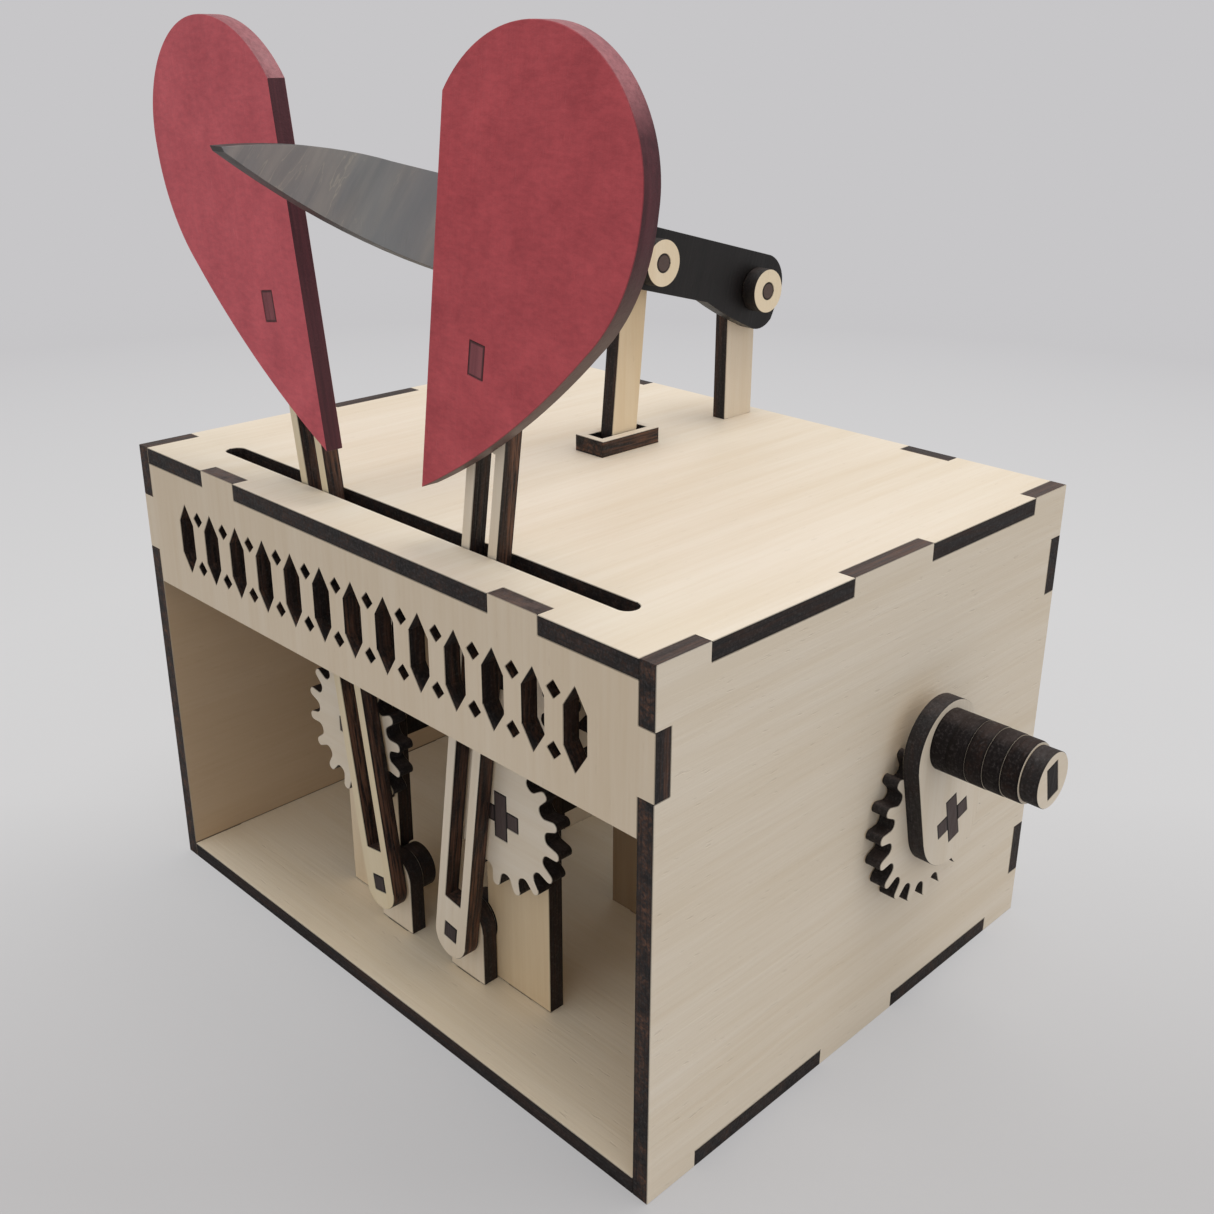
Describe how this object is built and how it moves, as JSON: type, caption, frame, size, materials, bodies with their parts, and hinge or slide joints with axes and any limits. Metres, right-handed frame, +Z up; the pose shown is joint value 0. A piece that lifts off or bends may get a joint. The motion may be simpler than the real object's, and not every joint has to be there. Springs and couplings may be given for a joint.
{
  "type": "wooden crank automaton",
  "caption": "Hand-cranked plywood box automaton: a side crank turns a gear train, lifts and drops a toy knife and swings the halves of a heart apart on slotted arms.",
  "frame": {"origin": "centre of the base plate's underside", "axes": "+X towards the crank handle, -Y towards the open front with the gears, +Z up"},
  "size_m": [0.1542, 0.1178, 0.1594],
  "materials": {
    "birch_ply": "satin",
    "red_stained_ply": "satin",
    "grey_stained_ply": "satin",
    "charred_ply": "matt",
    "dark_dowel": "matt"
  },
  "bodies": {
    "frame": {"base_plate": "birch_ply", "top_plate": "birch_ply", "left_side_panel": "birch_ply", "right_side_panel": "birch_ply", "back_panel": "birch_ply", "front_fascia": "birch_ply", "knife_guide_collar": "birch_ply", "rear_knife_post": "birch_ply", "right_front_stand": "birch_ply", "left_front_stand": "birch_ply", "right_rear_stand": "birch_ply", "left_rear_stand": "birch_ply", "right_pivot_stand": "birch_ply", "left_pivot_stand": "birch_ply", "right_shaft_bearing": "birch_ply", "left_shaft_bearing": "birch_ply", "rear_knife_pin": "dark_dowel", "rear_knife_washers": "birch_ply"},
    "crankshaft": {"right_drive_gear": "birch_ply", "left_drive_gear": "birch_ply", "crank_web": "birch_ply", "right_crank_shaft": "birch_ply", "left_crank_shaft": "birch_ply", "left_shaft_washer": "birch_ply", "outer_gear": "birch_ply", "crank_arm": "birch_ply", "handle_discs": "charred_ply", "handle_end_disc": "charred_ply", "handle_peg": "charred_ply"},
    "right_gears": {"right_front_gear": "birch_ply", "right_rear_gear": "birch_ply", "right_gear_shaft": "birch_ply"},
    "left_gears": {"left_front_gear": "birch_ply", "left_rear_gear": "birch_ply", "left_gear_shaft": "birch_ply"},
    "right_upper": {"right_upper_gear": "birch_ply", "right_upper_gear_shaft": "birch_ply", "right_upper_gear_washer": "birch_ply", "right_drive_peg": "birch_ply"},
    "left_upper": {"left_upper_gear": "birch_ply", "left_upper_gear_shaft": "birch_ply", "left_upper_gear_washer": "birch_ply", "left_drive_peg": "birch_ply"},
    "right_arm": {"right_heart_arm": "birch_ply", "right_heart_half": "red_stained_ply", "right_heart_key": "birch_ply", "right_arm_pivot_peg": "birch_ply", "right_arm_pivot_washer": "birch_ply"},
    "left_arm": {"left_heart_arm": "birch_ply", "left_heart_half": "red_stained_ply", "left_heart_key": "birch_ply", "left_arm_pivot_peg": "birch_ply", "left_arm_pivot_washer": "birch_ply"},
    "knife": {"knife": "grey_stained_ply", "front_knife_pin": "dark_dowel", "front_knife_washers": "birch_ply"},
    "rod": {"push_rod": "birch_ply", "crank_pin": "dark_dowel"}
  },
  "joints": [
    {"name": "crank_turn", "type": "hinge", "parent": "frame", "child": "crankshaft", "pos_m": [0, 0.01345, 0.0395], "axis": [1, 0, 0], "continuous": true},
    {"name": "right_gear_turn", "type": "hinge", "parent": "frame", "child": "right_gears", "pos_m": [0.0193, -0.02, 0.0395], "axis": [0, 1, 0], "continuous": true},
    {"name": "left_gear_turn", "type": "hinge", "parent": "frame", "child": "left_gears", "pos_m": [-0.0213, -0.02, 0.0395], "axis": [0, 1, 0], "continuous": true},
    {"name": "right_upper_turn", "type": "hinge", "parent": "frame", "child": "right_upper", "pos_m": [0.0193, -0.035, 0.0644], "axis": [0, 1, 0], "continuous": true},
    {"name": "left_upper_turn", "type": "hinge", "parent": "frame", "child": "left_upper", "pos_m": [-0.0213, -0.035, 0.0644], "axis": [0, 1, 0], "continuous": true},
    {"name": "knife_chop", "type": "hinge", "parent": "frame", "child": "knife", "pos_m": [-0.001, 0.0436, 0.112], "axis": [1, 0, 0], "range_deg": [-9, 15.5]},
    {"name": "rod_tilt", "type": "hinge", "parent": "knife", "child": "rod", "pos_m": [-0.0042, 0.01456, 0.12033], "axis": [1, 0, 0], "range_deg": [-15.5, 9]},
    {"name": "right_heart_swing", "type": "hinge", "parent": "frame", "child": "right_arm", "pos_m": [0.0092, -0.04, 0.0136], "axis": [0, 1, 0], "range_deg": [-6.75, 11.63]},
    {"name": "left_heart_swing", "type": "hinge", "parent": "frame", "child": "left_arm", "pos_m": [-0.0112, -0.04, 0.0136], "axis": [0, -1, 0], "range_deg": [-6.75, 11.63]}
  ],
  "couplings": [
    {"joint": "right_gear_turn", "follows": "crank_turn", "ratio": -1},
    {"joint": "left_gear_turn", "follows": "crank_turn", "ratio": 1},
    {"joint": "right_upper_turn", "follows": "crank_turn", "ratio": 1},
    {"joint": "left_upper_turn", "follows": "crank_turn", "ratio": -1},
    {"joint": "rod_tilt", "follows": "knife_chop", "ratio": -1},
    {"joint": "right_heart_swing", "follows": "knife_chop", "ratio": 0.75},
    {"joint": "left_heart_swing", "follows": "knife_chop", "ratio": 0.75}
  ]
}
